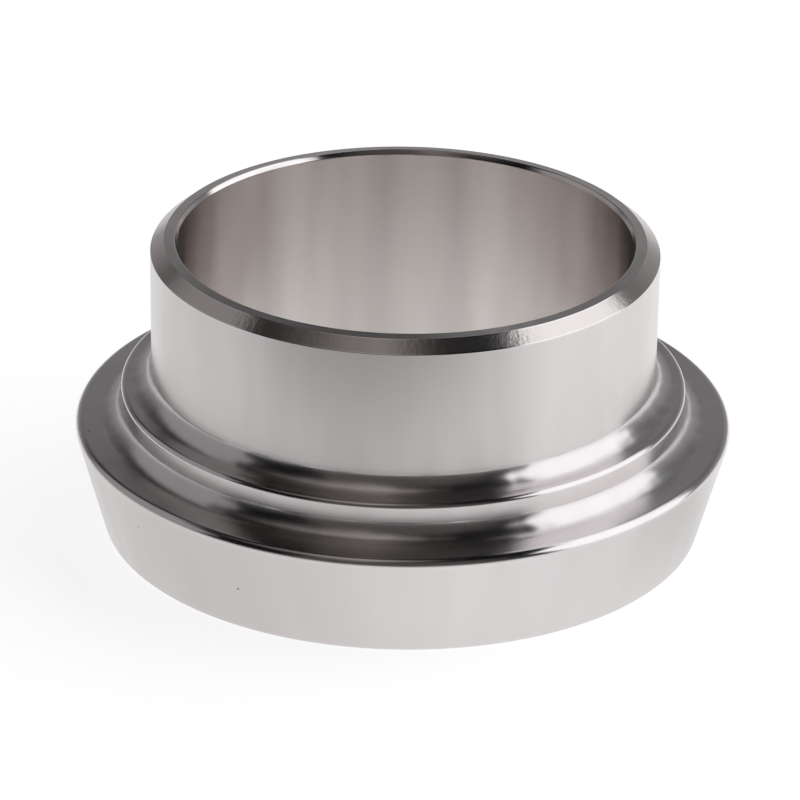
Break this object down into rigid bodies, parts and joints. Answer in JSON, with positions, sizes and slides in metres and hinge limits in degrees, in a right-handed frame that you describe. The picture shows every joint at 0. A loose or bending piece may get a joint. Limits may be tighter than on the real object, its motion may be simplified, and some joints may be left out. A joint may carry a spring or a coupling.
{
  "type": "conical weld liner",
  "caption": "Turned steel sleeve with a bevelled weld end, a centring collar and a flange with a conical rim; a union nut clamps it to join a tube to a hygienic pipe union.",
  "frame": {"origin": "centre of the flat sealing face, which is the lowest face and the one the part rests on", "axes": "+Z along the bore's axis, from the sealing face towards the weld end; the part is round, so X and Y are free"},
  "size_m": [0.056, 0.056, 0.0256],
  "materials": {
    "stainless_steel": "turned and satin polished stainless steel, bright on the fillets and edges"
  },
  "bodies": {
    "root": {"weld_liner": "stainless_steel"}
  },
  "joints": []
}
